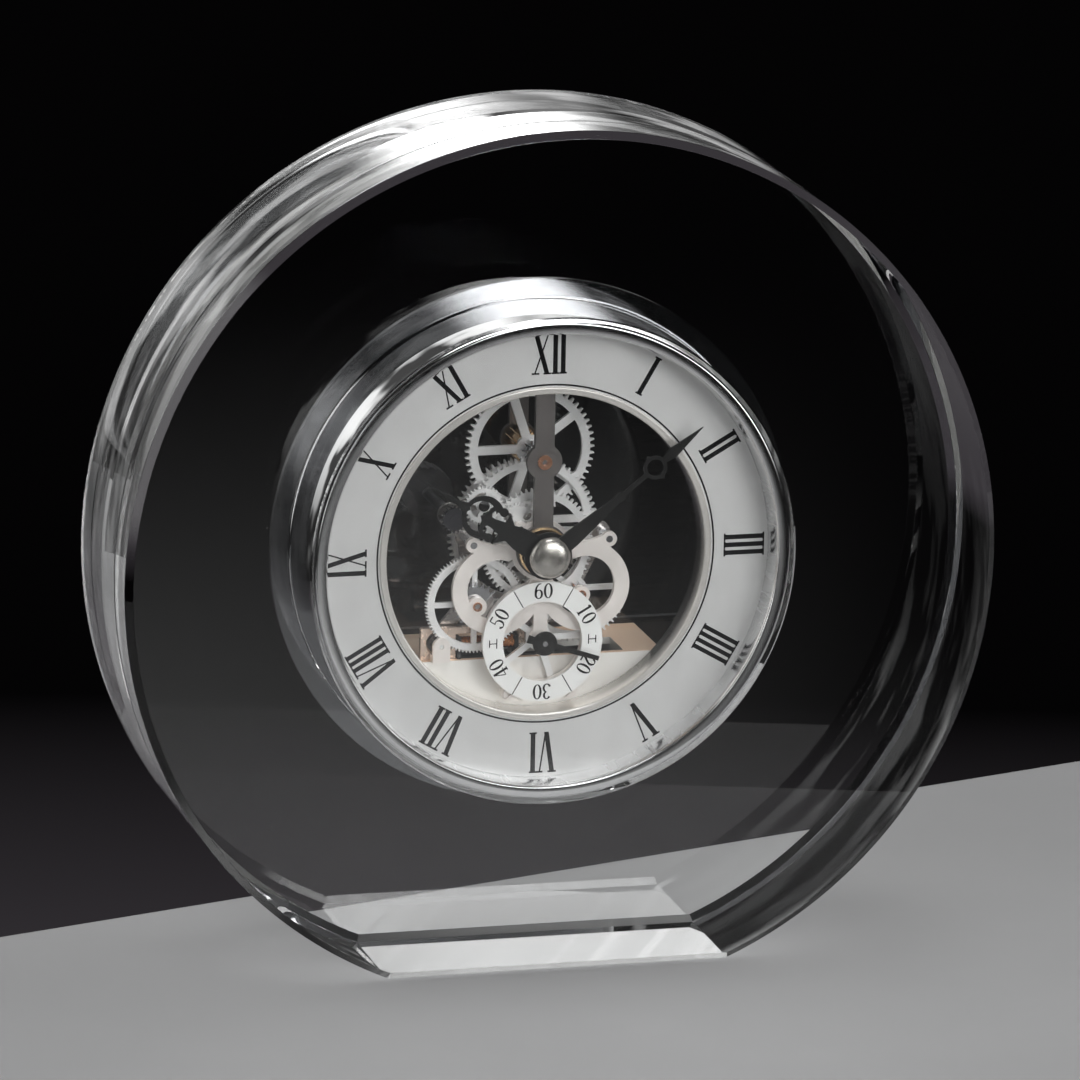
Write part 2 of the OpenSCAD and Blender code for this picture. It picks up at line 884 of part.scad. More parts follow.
module coil_bobbin() {
    low = coil_p[1] + base_drop;
    color([0.12, 0.11, 0.1])
        difference() {
            union() {
                for (x = [-coil_l / 2, coil_l / 2 - 0.6])
                    along_coil(x, 0.6)
                        translate([-1.2, -1.2])
                            square([low + 1.2, 2.4]);
                along_coil(-coil_l / 2, coil_l)
                    circle(0.8, $fn = 48);
            }
            along_coil(-coil_l, 2 * coil_l)
                square([core_h + 0.04, 1.04], center = true);
        }
}

// Winding of fine copper wire, as a solid with one shallow groove for each layer of turns
module coil_winding() {
    turns = 16;
    inner = coil_l - 1.24;
    pitch = inner / turns;
    color([0.62, 0.32, 0.16])
        translate([coil_p[0] - inner / 2, floor_y + layer_3 + 0.9, axis_z + coil_p[1]])
            rotate([0, 90, 0])
                rotate_extrude($fn = 48)
                    polygon(concat([[0.81, 0]],
                        [for (i = [0 : turns - 1], k = [0, 1])
                            [coil_r - (k == 0 ? 0.08 : 0), (i + k * 0.5) * pitch]],
                        [[coil_r - 0.08, inner], [0.81, inner]]));
}

module idler_wheel() {
    color([0.8, 0.81, 0.83])
        difference() {
            union() {
                slab(layer_5, wheel_t)
                    at(idler_p)
                        teeth(idler_pinion_n, upper_m, idler_pinion_turn);
                slab(layer_5 + wheel_t, layer_gap)
                    disc(idler_p, 0.95);
                slab(layer_6, wheel_t)
                    at(idler_p)
                        wheel(idler_n, upper_m, 1.2, 2.2, 5, 1.2, stud_r + run_gap, idler_turn);
            }
            slab(layer_5 - 0.1, 2 * wheel_t + layer_gap + 0.2)
                disc(idler_p, stud_r + run_gap);
        }
}

module idler_stud() {
    color([0.7, 0.7, 0.72]) {
        slab(middle_d + 0.1, layer_6 + wheel_t + 0.08 - middle_d - 0.1)
            disc(idler_p, stud_r - 0.01);
        slab(layer_6 + wheel_t + 0.08, 0.2)
            disc(idler_p, 1);
    }
}

module great_wheel() {
    color([0.82, 0.83, 0.85])
        slab(layer_7, wheel_t)
            at(great_p)
                wheel(great_n, 0.365, 1.4, 2.4, 5, 1.5, arbor_r + 0.01, great_turn);
}

module great_arbor() {
    color([0.7, 0.7, 0.72]) {
        slab(upper_d + 0.1, rear_back - upper_d - 0.2)
            disc(great_p, arbor_r);
        slab(layer_6 - 0.1, wheel_t + 0.2)
            at(great_p)
                teeth(great_front_n, upper_m, great_front_turn);
    }
}

module great_pinion() {
    color([0.66, 0.46, 0.28])
        slab(great_pinion_d, great_pinion_l)
            at(great_p)
                difference() {
                    teeth(great_rear_n, rear_m, great_rear_turn);
                    circle(arbor_r + 0.01, $fn = 48);
                }
}

module rear_wheel() {
    color([0.74, 0.74, 0.76])
        slab(layer_8, wheel_t)
            wheel(rear_n, rear_m, 1.4, 2.6, 5, 1.5, 0.8 + run_gap, rear_turn);
}

module rear_wheel_stud() {
    color([0.7, 0.7, 0.72]) {
        slab(layer_8 - 0.1, rear_back - layer_8)
            circle(0.79, $fn = 48);
        slab(layer_8 - 0.4, 0.3)
            circle(1.3, $fn = 48);
        slab(layer_8 + wheel_t + 0.1, rear_plate_d - layer_8 - wheel_t - 0.1)
            circle(1.3, $fn = 48);
    }
}

module setting_wheel() {
    color([0.77, 0.77, 0.79])
        slab(layer_2, wheel_t)
            at(setting_p)
                wheel(setting_n, motion_m, 0.7, 1.2, 4, 0.7, stud_r + run_gap, setting_turn);
}

module setting_wheel_stud() {
    color([0.7, 0.7, 0.72]) {
        slab(layer_2 - 0.1, middle_back - layer_2)
            disc(setting_p, stud_r - 0.01);
        slab(layer_2 - 0.35, 0.25)
            disc(setting_p, 0.95);
        slab(layer_2 + wheel_t + 0.1, middle_d - layer_2 - wheel_t - 0.1)
            disc(setting_p, 0.9);
    }
}

module setting_shaft() {
    color([0.7, 0.7, 0.72]) {
        slab(layer_2 - 0.2, rear_d + 0.5 + knob_l - layer_2 - 0.8)
            disc(setting_shaft_p, setting_shaft_r);
        slab(layer_2, wheel_t)
            at(setting_shaft_p)
                teeth(setting_pinion_n, motion_m, setting_pinion_turn);
    }
}

module setting_knob() {
    ribs = 20;
    color([0.15, 0.15, 0.16])
        difference() {
            slab(rear_d + 0.5, knob_l)
                at(setting_shaft_p)
                    difference() {
                        circle(knob_r);
                        for (i = [0 : ribs - 1])
                            disc(polar([0, 0], knob_r + 0.15, 360 * i / ribs), 0.4);
                    }
            slab(rear_d + 0.4, knob_l - 0.8)
                disc(setting_shaft_p, setting_shaft_r + 0.01);
        }
}

// Outline of a hand along +Y, turned clockwise to where it points and made size times larger
module pointing(p, deg, size = 1) {
    at(p)
        rotate(-deg)
            scale([size, size])
                children();
}

// Drawn 25.7 long
module hour_hand() {
    loop_at = 13.5;
    loop_r = 3.7;
    color([0.04, 0.04, 0.045])
        slab(hour_d, hand_t)
            difference() {
                pointing(centre, hour_at, hour_len / 25.7) {
                    circle(4.1, $fn = 64);
                    hour_blade();
                    hour_loop(loop_at, loop_r);
                    polygon([[-1, 16.9], [0, 16.2], [1, 16.9], [0.45, 18.6], [0.4, 20.5],
                        [0, 25.7], [-0.4, 20.5], [-0.45, 18.6]]);
                }
                circle(hour_pipe_r + 0.01, $fn = 64);
            }
}

// Leaf with two barbs, then the neck that opens into the loop
module hour_blade() {
    polygon([[-2.2, 2.8], [2.2, 2.8], [2, 6], [1.5, 8], [2.8, 9.6], [1.2, 9.6], [0.8, 11.4],
        [0.8, 12.2], [2.1, 13], [0.6, 13.4], [0, 14], [-0.6, 13.4], [-2.1, 13], [-0.8, 12.2],
        [-0.8, 11.4], [-1.2, 9.6], [-2.8, 9.6], [-1.5, 8], [-2, 6]]);
}

// Two crescents, open towards the hub, with their ends curled in to the neck
module hour_loop(loop_at, loop_r) {
    difference() {
        at([0, loop_at])
            circle(loop_r, $fn = 64);
        at([0, loop_at + 0.4])
            circle(loop_r - 1.05, $fn = 64);
        at([-2, loop_at - loop_r - 1])
            square([4, 3]);
    }
    pair([2.5, loop_at - 2.7], 0.75);
    strip_pair([1.6, 12.9], [3, 12.2], 0.7);
}

// Drawn 33.9 long
module minute_hand() {
    loop_at = 23.3;
    color([0.04, 0.04, 0.045])
        slab(minute_d, hand_t)
            difference() {
                pointing(centre, minute_at, minute_len / 33.9)
                    difference() {
                        union() {
                            circle(3.4, $fn = 64);
                            polygon([[-1.5, 2], [1.5, 2], [1.5, 5], [1.1, 10], [0.55, 15.2],
                                [-0.55, 15.2], [-1.1, 10], [-1.5, 5]]);
                            disc([0, 15.6], 0.8);
                            polygon([[-0.35, 15], [0.35, 15], [0.4, 21.5], [-0.4, 21.5]]);
                            disc([0, loop_at], 2.05);
                            at([0, loop_at])
                                circle(2.5, $fn = 4);
                            polygon([[-0.5, 25.2], [0.5, 25.2], [0.95, 27.1], [0, 33.9],
                                [-0.95, 27.1]]);
                        }
                        disc([0, loop_at], 1.45);
                    }
                circle(cannon_pipe_r + 0.01, $fn = 48);
            }
}

module seconds_hand() {
    color([0.05, 0.05, 0.055]) {
        slab(seconds_hand_d, 0.3)
            pointing(seconds_p, seconds_at)
                difference() {
                    union() {
                        circle(2.1, $fn = 48);
                        polygon([[-0.7, -3.1], [0.7, -3.1], [0.5, 0], [0.38, seconds_len],
                            [-0.38, seconds_len], [-0.5, 0]]);
                    }
                    circle(arbor_r + 0.01, $fn = 48);
                }
        slab(seconds_hand_d + 0.3, collet_l - 0.3)
            at(seconds_p)
                ring(1.4, arbor_r + 0.01);
    }
}

module cap_nut() {
    r = 3.55;
    color([0.66, 0.65, 0.62])
        difference() {
            turned([[0, nut_d], [1.2, nut_d + 0.08], [2.2, nut_d + 0.32], [2.9, nut_d + 0.65],
                [3.35, nut_d + 1.0], [r, nut_d + 1.25], [r, nut_d + nut_t], [0, nut_d + nut_t]]);
            slab(nut_d + 0.5, nut_t)
                circle(centre_arbor_r + 0.01, $fn = 48);
        }
}

// Outline of the base: a narrow upper step over a segment that follows the case tube
module base_outline(inset = 0) {
    top = -base_drop - inset;
    half = base_half - inset;
    intersection() {
        circle(base_r - inset);
        union() {
            at([-half, top - base_step])
                square([2 * half, base_step]);
            at([-tube_in, -tube_in])
                square([2 * tube_in, tube_in + top - base_step + 0.01]);
        }
    }
}

module movement_base() {
    depth = base_back - base_d;
    color([0.82, 0.8, 0.77])
        difference() {
            union() {
                slab(base_d, depth)
                    base_outline();
                slab(heart_back, base_d - heart_back)
                    pair(leg_p, 1.05);
                for (i = [0, 1])
                    slab(ledge_d, base_d - ledge_d)
                        disc(movement_screw_places()[i], 1.8);
            }
            slab(base_d + base_wall, depth - 2 * base_wall)
                difference() {
                    base_outline(base_wall);
                    for (s = [-1, 1]) {
                        at([s * (cell_wall_x + base_wall / 2), -base_half])
                            square([base_wall, 4 * base_half], center = true);
                        at([s * 8, cell_p[1] - cell_d / 2 - 3])
                            square([base_wall, 8], center = true);
                    }
                }
            slab(base_back - 2 * base_wall, 3 * base_wall)
                at(door_p)
                    square([2 * cell_wall_x, hatch_h], center = true);
            along_cell(-cell_l / 2 + 0.01, cell_l - 0.02)
                circle(cell_d / 2);
            slab(base_d + base_wall, cell_depth - base_d - base_wall)
                at([-cell_wall_x, cell_p[1] - cell_d / 2])
                    square([2 * cell_wall_x, 2 * cell_d]);
            slab(heart_back - 0.1, base_d - heart_back + base_wall)
                pair(leg_p, thread_r + 0.02);
            for (i = [0, 1])
                slab(ledge_d - 0.1, 3.3)
                    disc(movement_screw_places()[i], thread_r + 0.02);
        }
}

module circuit_board() {
    board_d = base_d + base_wall;
    half = cell_wall_x - 0.5;
    color([0.1, 0.35, 0.2]) {
        slab(board_d, 1)
            at([-half, cell_p[1] - cell_d / 2 + 0.4])
                square([2 * half, cell_d - 1]);
        slab(board_d + 1, 1.2)
            at([-10, cell_p[1] + 0.4])
                square([4.5, 4.5]);
        slab(board_d + 1, 1.2)
            at([2, cell_p[1] - 2.6])
                square([6, 2]);
    }
}

module along_cell(x, l) {
    translate([cell_p[0] + x, floor_y + cell_depth, axis_z + cell_p[1]])
        rotate([0, 90, 0])
            linear_extrude(l)
                children();
}

module battery() {
    body_l = cell_l - 1.2;
    color([0.35, 0.36, 0.38]) {
        along_cell(-cell_l / 2, body_l)
            circle(cell_d / 2);
        along_cell(-cell_l / 2 + body_l, 1.2)
            circle(2.2, $fn = 48);
    }
}

// Leaf contacts at both ends of the cell, each standing on the floor of the base
module battery_contacts() {
    leaf = 0.4;
    low = 5.4;
    color([0.82, 0.78, 0.6])
        for (x = [-cell_l / 2 - leaf, cell_l / 2])
            along_cell(x, leaf)
                at([-3, -3])
                    square([3 + low, 6]);
}

module battery_door() {
    color([0.16, 0.16, 0.17])
        difference() {
            union() {
                slab(rear_d, rear_t)
                    at(door_p)
                        square([door_w - 2 * door_gap, door_h - 2 * door_gap], center = true);
                slab(rear_d - 2, 2)
                    at(door_p)
                        square([plug_w, plug_h], center = true);
            }
            slab(rear_d - 2.1, 1.9)
                at(door_p)
                    square([plug_w - 2.4, plug_h - 2.4], center = true);
            slab(rear_d + rear_t - 0.5, 1)
                at(door_p)
                    square([9, 2.2], center = true);
        }
}

module rear_window(extra = 0) {
    intersection() {
        circle(rear_window_r + extra);
        at([-tube_in, window_low - extra])
            square([2 * tube_in, 2 * tube_in]);
    }
}

module rear_cover() {
    color([0.2, 0.2, 0.21])
        difference() {
            turned([[0, rear_d], [tube_r, rear_d], [tube_r, rear_d + rear_t - 0.5],
                [tube_r - 0.5, rear_d + rear_t], [0, rear_d + rear_t]]);
            slab(rear_d - 0.1, rear_t + 0.2)
                rear_window();
            slab(rear_d - 0.1, rear_t + 0.2)
                at(door_p)
                    square([door_w, door_h], center = true);
        }
}

module rear_lens() {
    color([0.9, 0.94, 0.96, 0.3])
        slab(rear_d - rear_lens_t, rear_lens_t)
            difference() {
                rear_window(0.8);
                disc(setting_shaft_p, setting_shaft_r + run_gap);
            }
}

crystal_block();
gasket();
case_tube();
front_bezel();
front_lens();
dial_spacer();
chapter_ring();
window_flange();
movement_ring();
movement_screws();
upper_bridge();
heart_bridge();
bridge_screws();
pivot_bushes();
centre_bush();
bridge_pillars();
middle_plate();
rear_plate();
seconds_dial();
centre_arbor();
cannon_pinion();
clutch_washer();
centre_wheel();
minute_wheel();
minute_wheel_stud();
hour_wheel();
third_wheel();
third_arbor();
seconds_wheel();
seconds_arbor();
intermediate_wheel();
intermediate_arbor();
rotor_magnet();
rotor_arbor();
rotor_bridge();
stator();
coil_bobbin();
coil_winding();
idler_wheel();
idler_stud();
great_wheel();
great_arbor();
great_pinion();
rear_wheel();
rear_wheel_stud();
setting_wheel();
setting_wheel_stud();
setting_shaft();
setting_knob();
hour_hand();
minute_hand();
seconds_hand();
cap_nut();
movement_base();
circuit_board();
battery();
battery_contacts();
battery_door();
rear_cover();
rear_lens();
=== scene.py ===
import math

import bmesh
import bpy
from mathutils import Matrix, Vector

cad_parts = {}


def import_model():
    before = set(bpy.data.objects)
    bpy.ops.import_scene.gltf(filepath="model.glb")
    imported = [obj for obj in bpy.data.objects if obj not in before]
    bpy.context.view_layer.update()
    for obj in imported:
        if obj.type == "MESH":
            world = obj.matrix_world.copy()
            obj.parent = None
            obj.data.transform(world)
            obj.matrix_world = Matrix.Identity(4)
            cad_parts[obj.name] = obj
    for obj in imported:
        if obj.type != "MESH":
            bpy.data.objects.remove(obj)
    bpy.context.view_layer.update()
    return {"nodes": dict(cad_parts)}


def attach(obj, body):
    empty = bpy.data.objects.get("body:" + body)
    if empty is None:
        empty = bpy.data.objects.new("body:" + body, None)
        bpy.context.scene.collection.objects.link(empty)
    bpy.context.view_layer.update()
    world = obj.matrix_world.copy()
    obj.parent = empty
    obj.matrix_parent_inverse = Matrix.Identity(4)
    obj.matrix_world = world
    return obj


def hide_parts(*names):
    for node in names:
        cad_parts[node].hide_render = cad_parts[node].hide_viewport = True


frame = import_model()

MM = 0.001
NODES = frame["nodes"]
scene = bpy.context.scene

# Sizes shared with the solids, in millimetres. Depths run backwards from the floor of the bore.
DISC_R = 75.0
DISC_T = 36.5
EDGE = 1.2
FOOT_HALF = 29.65
BORE_R = 42.0
FLOOR_Y = -6.25
AXIS_Z = math.sqrt(DISC_R ** 2 - FOOT_HALF ** 2)
SECONDS = (0.0, -15.5)
DIAL_D = 6.0
SECONDS_D = 7.2
# A thin layer of air keeps polished glass optically apart from what it touches.
AIR = 0.03


def world(x, z, d):
    """A point given in the dial's plane and by its depth behind the bore's floor."""
    return Vector((x * MM, (FLOOR_Y + d) * MM, (AXIS_Z + z) * MM))


# Camera
AZIMUTH = math.radians(-15.14)
ELEVATION = math.radians(14.41)
ROLL = math.radians(0.99)
DISTANCE = 1.5
TARGET = Vector((0.000239, 0.0, 0.07006))
SENSOR = 36.0
LENS = 297.02


def camera():
    flat = math.cos(ELEVATION)
    ahead = Vector((-math.sin(AZIMUTH) * flat, math.cos(AZIMUTH) * flat, -math.sin(ELEVATION)))
    level = Vector((math.cos(AZIMUTH), math.sin(AZIMUTH), 0.0))
    upright = level.cross(ahead)
    right = math.cos(ROLL) * level + math.sin(ROLL) * upright
    up = -math.sin(ROLL) * level + math.cos(ROLL) * upright
    stand = Matrix((right, up, -ahead)).transposed().to_4x4()
    stand.translation = TARGET - DISTANCE * ahead
    data = bpy.data.cameras.new("camera")
    data.sensor_width = SENSOR
    data.lens = LENS
    data.clip_start = 0.05
    data.clip_end = 20.0
    eye = bpy.data.objects.new("camera", data)
    scene.collection.objects.link(eye)
    eye.matrix_world = stand
    scene.camera = eye


camera()


# Materials
class Graph:
    """A material's node tree with short names for the nodes used here."""

    def __init__(self, name, **sockets):
        self.mat = bpy.data.materials.new(name)
        self.mat.use_nodes = True
        self.tree = self.mat.node_tree
        self.tree.nodes.clear()
        self.out = self.tree.nodes.new("ShaderNodeOutputMaterial")
        self.bsdf = self.tree.nodes.new("ShaderNodeBsdfPrincipled")
        self.link(self.bsdf.outputs[0], self.out.inputs["Surface"])
        for key, value in sockets.items():
            self.bsdf.inputs[key.replace("_", " ")].default_value = value
        self.coords = self.tree.nodes.new("ShaderNodeTexCoord").outputs["Object"]

    def link(self, a, b):
        self.tree.links.new(a, b)

    def node(self, kind, **inputs):
        n = self.tree.nodes.new("ShaderNode" + kind)
        for key, value in inputs.items():
            socket = n.inputs[key.replace("_", " ")]
            if isinstance(value, bpy.types.NodeSocket):
                self.link(value, socket)
            else:
                socket.default_value = value
        return n

    def noise(self, scale, detail=3.0, stretch=(1, 1, 1), roughness=0.55):
        m = self.node("Mapping", Vector=self.coords, Scale=stretch)
        return self.node("TexNoise", Vector=m.outputs[0], Scale=scale, Detail=detail,
                         Roughness=roughness).outputs["Fac"]

    def span(self, fac, low, high, start=0.3, end=0.7):
        n = self.node("MapRange", Value=fac, From_Min=start, From_Max=end, To_Min=low, To_Max=high)
        return n.outputs[0]

    def ramp(self, fac, stops):
        n = self.tree.nodes.new("ShaderNodeValToRGB")
        self.link(fac, n.inputs[0])
        el = n.color_ramp.elements
        while len(el) < len(stops):
            el.new(0.5)
        for e, (pos, col) in zip(el, stops):
            e.position = pos
            e.color = (*col, 1.0)
        return n.outputs[0]

    def mix(self, fac, a, b):
        n = self.tree.nodes.new("ShaderNodeMix")
        n.data_type = "RGBA"
        for socket, value in ((n.inputs[0], fac), (n.inputs[6], a), (n.inputs[7], b)):
            if isinstance(value, bpy.types.NodeSocket):
                self.link(value, socket)
            else:
                socket.default_value = value if isinstance(value, float) else (*value, 1.0)
        return n.outputs[2]

    def bump(self, height, strength, distance=0.00002):
        n = self.node("Bump", Height=height, Strength=strength, Distance=distance)
        self.link(n.outputs[0], self.bsdf.inputs["Normal"])

    def colour(self, socket):
        self.link(socket, self.bsdf.inputs["Base Color"])

    def rough(self, socket):
        self.link(socket, self.bsdf.inputs["Roughness"])


def tone(colour, k):
    """A colour made lighter or darker."""
    return tuple(min(1.0, x * k) for x in colour)


def metal(name, base, rough=(0.2, 0.3), scale=900, bump=0.05, stretch=(1, 1, 1), vary=0.08, metallic=1.0):
    """Metal with clouded colour and a fine grain, which may be drawn out into brush marks."""
    g = Graph(name, Metallic=metallic)
    cloud = g.noise(140, 4)
    grain = g.noise(scale, 5, stretch)
    g.colour(g.ramp(cloud, [(0.3, tone(base, 1 - vary)), (0.7, tone(base, 1 + vary))]))
    g.rough(g.span(grain, rough[0], rough[1]))
    if bump:
        g.bump(grain, bump)
    return g.mat


def paint(name, base, rough=(0.35, 0.5), coat=0.0, scale=1500, bump=0.05, shine=0.5):
    """Paint, print, plastic or rubber with a fine pebbled surface."""
    g = Graph(name, Metallic=0.0, Coat_Weight=coat, Coat_Roughness=0.15, Specular_IOR_Level=shine)
    grain = g.noise(scale, 4)
    cloud = g.noise(200, 3)
    g.colour(g.ramp(cloud, [(0.3, tone(base, 0.85)), (0.7, tone(base, 1.15))]))
    g.rough(g.span(grain, rough[0], rough[1]))
    g.bump(grain, bump)
    return g.mat


def glass(name, tint, ior, rough):
    """Polished glass with the faintest smears."""
    g = Graph(name, Metallic=0.0, IOR=ior, Transmission_Weight=1.0)
    smear = g.noise(60, 4)
    g.colour(g.ramp(smear, [(0.35, tone(tint, 0.995)), (0.65, tint)]))
    g.rough(g.span(smear, 0.0, rough, 0.45, 0.8))
    return g.mat


def base_material():
    """Pale satin block whose upper faces are polished, with a painted warm reflection in their colour."""
    g = Graph("base_plated")
    facing = g.node("NewGeometry").outputs["Normal"]
    z = g.node("SeparateXYZ", Vector=facing).outputs["Z"]
    up = g.span(z, 0.0, 1.0, 0.6, 0.9)
    g.link(g.span(up, 0.4, 0.12, 0.0, 1.0), g.bsdf.inputs["Metallic"])
    grain = g.noise(900, 5)
    cloud = g.noise(45, 3, (0.6, 1, 1))
    # Painted reflection: faces that point up get a pink-orange colour that stands in for the warm light they
    # mirror.
    painted_reflection = g.ramp(cloud, [(0.35, (0.96, 0.66, 0.46)), (0.65, (0.99, 0.76, 0.58))])
    pale = g.ramp(cloud, [(0.3, (0.93, 0.9, 0.86)), (0.7, (0.97, 0.95, 0.91))])
    g.colour(g.mix(up, pale, painted_reflection))
    rough = g.node("MapRange", Value=up, From_Min=0.0, From_Max=1.0)
    g.link(g.span(grain, 0.32, 0.45), rough.inputs["To Min"])
    g.link(g.span(grain, 0.34, 0.42), rough.inputs["To Max"])
    g.rough(rough.outputs[0])
    g.bump(grain, 0.015)
    return g.mat


def flange_material():
    """Bright rolled lip with painted shade: the colour darkens on the bore wall deep inside and on the side
    away from the light.
    """
    lip_d, painted_shade_d = 6.2, 8.6
    g = Graph("flange_steel", Metallic=0.6)
    split = g.node("SeparateXYZ", Vector=g.coords)
    # Painted shade mask: the further into the bore and the further to the right, the nearer the colour goes
    # to black.
    deep = g.node("MapRange", Value=split.outputs["Y"], From_Min=(FLOOR_Y + lip_d) * MM,
                  From_Max=(FLOOR_Y + painted_shade_d) * MM)
    side = g.node("MapRange", Value=split.outputs["X"], From_Min=0.004, From_Max=0.022)
    dark = g.node("Math")
    dark.operation = "MULTIPLY"
    g.link(deep.outputs[0], dark.inputs[0])
    g.link(side.outputs[0], dark.inputs[1])
    g.colour(g.mix(dark.outputs[0], (0.84, 0.81, 0.77), (0.05, 0.047, 0.045)))
    g.rough(g.span(g.noise(600, 4), 0.16, 0.24))
    return g.mat


FINISHES = {
    "crystal": glass("crystal_glass", (0.985, 0.992, 0.99), 1.52, 0.002),
    "lens": glass("lens_glass", (0.99, 0.995, 0.995), 1.5, 0.002),
    "rubber": paint("gasket_silicone", (0.2, 0.2, 0.195), (0.35, 0.5)),
    "tube": metal("case_steel", (0.2, 0.203, 0.212), (0.04, 0.09), 700, 0.02, (1, 0.1, 1)),
    "chrome": metal("polished_chrome", (0.88, 0.88, 0.885), (0.04, 0.09), 500, 0.01, vary=0.02),
    "satin": metal("satin_chrome", (0.8, 0.8, 0.805), (0.2, 0.3), 900, 0.03, (1, 0.1, 1)),
    "dial": metal("silver_dial", (0.72, 0.715, 0.712), (0.42, 0.52), 2200, 0.25, vary=0.05, metallic=0.75),
    "white_dial": metal("white_dial", (0.93, 0.925, 0.91), (0.42, 0.52), 2200, 0.15, vary=0.02,
                        metallic=0.35),
    "wheel": metal("bright_wheel", (0.97, 0.965, 0.96), (0.3, 0.4), 1300, 0.015, vary=0.03, metallic=0.5),
    "arbor": metal("arbor_steel", (0.75, 0.75, 0.77), (0.08, 0.18), 1100, 0.03, (1, 0.1, 1)),
    "plate": metal("plate_steel", (0.55, 0.52, 0.5), (0.22, 0.34), 900, 0.06, (0.1, 1, 1)),
    "dark": metal("dark_bridge", (0.165, 0.153, 0.148), (0.34, 0.46), 1600, 0.15, (1, 1, 0.08),
                  metallic=0.8),
    "pale": metal("pale_bridge", (0.93, 0.87, 0.83), (0.32, 0.46), 1800, 0.08, (1, 1, 0.2), metallic=0.5),
    "copper": metal("copper_bush", (0.82, 0.43, 0.28), (0.15, 0.28), 1200, 0.05),
    "brass": metal("brass", (0.84, 0.6, 0.36), (0.12, 0.25), 1200, 0.05),
    "motor": metal("motor_plated", (0.92, 0.74, 0.62), (0.2, 0.32), 1000, 0.05, (1, 0.1, 1), metallic=0.5),
    "magnet": metal("magnet", (0.22, 0.22, 0.23), (0.2, 0.35), 1000, 0.08),
    "wire": metal("copper_wire", (0.62, 0.27, 0.12), (0.18, 0.3), 2500, 0.2, (6, 1, 1)),
    "nickel": metal("nickel", (0.62, 0.59, 0.55), (0.2, 0.27), 800, 0.02, vary=0.03),
    "bronze": metal("spring_bronze", (0.75, 0.66, 0.47), (0.2, 0.32), 1000, 0.06),
    "hands": paint("hand_black", (0.006, 0.006, 0.006), (0.33, 0.42), shine=0.32, bump=0.02),
    "print": paint("print_black", (0.004, 0.004, 0.005), (0.6, 0.75), shine=0.1),
    "black": paint("black_plastic", (0.022, 0.022, 0.024), (0.45, 0.6), scale=900, bump=0.12, shine=0.4),
    "blued": metal("blackened_steel", (0.09, 0.09, 0.1), (0.3, 0.42), 1100, 0.05),
    "white": paint("white_plastic", (0.8, 0.8, 0.78), (0.35, 0.45)),
    "board": paint("board", (0.03, 0.17, 0.08), (0.25, 0.4), coat=0.3),
    "cell": paint("cell_case", (0.12, 0.14, 0.18), (0.2, 0.3), coat=0.5),
    "base": base_material(),
    "flange": flange_material(),
}

NODES_OF = {
    "crystal": "crystal_block",
    "lens": "front_lens rear_lens",
    "rubber": "gasket",
    "tube": "case_tube",
    "chrome": "front_bezel",
    "satin": "dial_spacer",
    "flange": "window_flange",
    "dial": "chapter_ring",
    "white_dial": "seconds_dial",
    "wheel": "centre_wheel minute_wheel hour_wheel third_wheel seconds_wheel intermediate_wheel idler_wheel "
             "great_wheel rear_wheel setting_wheel",
    "arbor": "movement_screws bridge_pillars centre_arbor cannon_pinion minute_wheel_stud third_arbor "
             "seconds_arbor intermediate_arbor idler_stud great_arbor rear_wheel_stud setting_wheel_stud",
    "plate": "movement_ring middle_plate",
    "dark": "upper_bridge rear_plate",
    "pale": "heart_bridge rotor_bridge bridge_screws",
    "copper": "pivot_bushes",
    "brass": "centre_bush great_pinion",
    "motor": "stator",
    "magnet": "rotor_magnet",
    "wire": "coil_winding",
    "nickel": "cap_nut",
    "bronze": "clutch_washer battery_contacts",
    "hands": "hour_hand minute_hand seconds_hand",
    "black": "coil_bobbin setting_knob battery_door rear_cover",
    "blued": "setting_shaft",
    "white": "rotor_arbor",
    "board": "circuit_board",
    "cell": "battery",
    "base": "movement_base",
}
WHEEL_EDGE = 0.04
SOFT_EDGE = {
    "heart_bridge": 0.12, "upper_bridge": 0.1, "rotor_bridge": 0.1, "middle_plate": 0.08, "rear_plate": 0.1,
    "seconds_dial": 0.06, "hour_hand": 0.09, "minute_hand": 0.09, "seconds_hand": 0.07,
    "movement_base": 0.2, "battery_door": 0.2, "rear_cover": 0.15, "setting_knob": 0.15, "stator": 0.06,
    "coil_bobbin": 0.08,
}


def soften(node, width):
    """Breaks a node's sharp edges."""
    bevel = node.modifiers.new("soft_edge", "BEVEL")
    bevel.width = width * MM
    bevel.segments = 2
    bevel.limit_method = "ANGLE"
    bevel.angle_limit = math.radians(40)
    bevel.harden_normals = False


def finish_nodes():
    """Gives every carried-over node its material, and the ones with cut edges a small bevel."""
    for finish, names in NODES_OF.items():
        for name in names.split():
            node = NODES[name]
            if node.material_slots:
                for slot in node.material_slots:
                    slot.material = FINISHES[finish]
            else:
                node.data.materials.append(FINISHES[finish])
            width = SOFT_EDGE.get(name, WHEEL_EDGE if finish == "wheel" else 0.0)
            if width:
                soften(node, width)


finish_nodes()


# Mesh helpers
def shade(mesh, smooth):
    """Smooth shading, with edges sharper than the given degrees kept crisp."""
    for polygon in mesh.polygons:
        polygon.use_smooth = True
    mesh.set_sharp_from_angle(angle=math.radians(smooth))


def face_outwards(mesh):
    bm = bmesh.new()
    bm.from_mesh(mesh)
    bmesh.ops.recalc_face_normals(bm, faces=bm.faces)
    bm.to_mesh(mesh)
    bm.free()


def link(name, mesh):
    obj = bpy.data.objects.new(name, mesh)
    scene.collection.objects.link(obj)
    return obj


def add(name, verts, faces, finish, body):
    """New piece that rides on a body."""
    mesh = bpy.data.meshes.new(name)
    mesh.from_pydata([tuple(v) for v in verts], [], faces)
    mesh.validate()
    obj = link(name, mesh)
    mesh.materials.append(FINISHES[finish])
    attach(obj, body)
    return obj


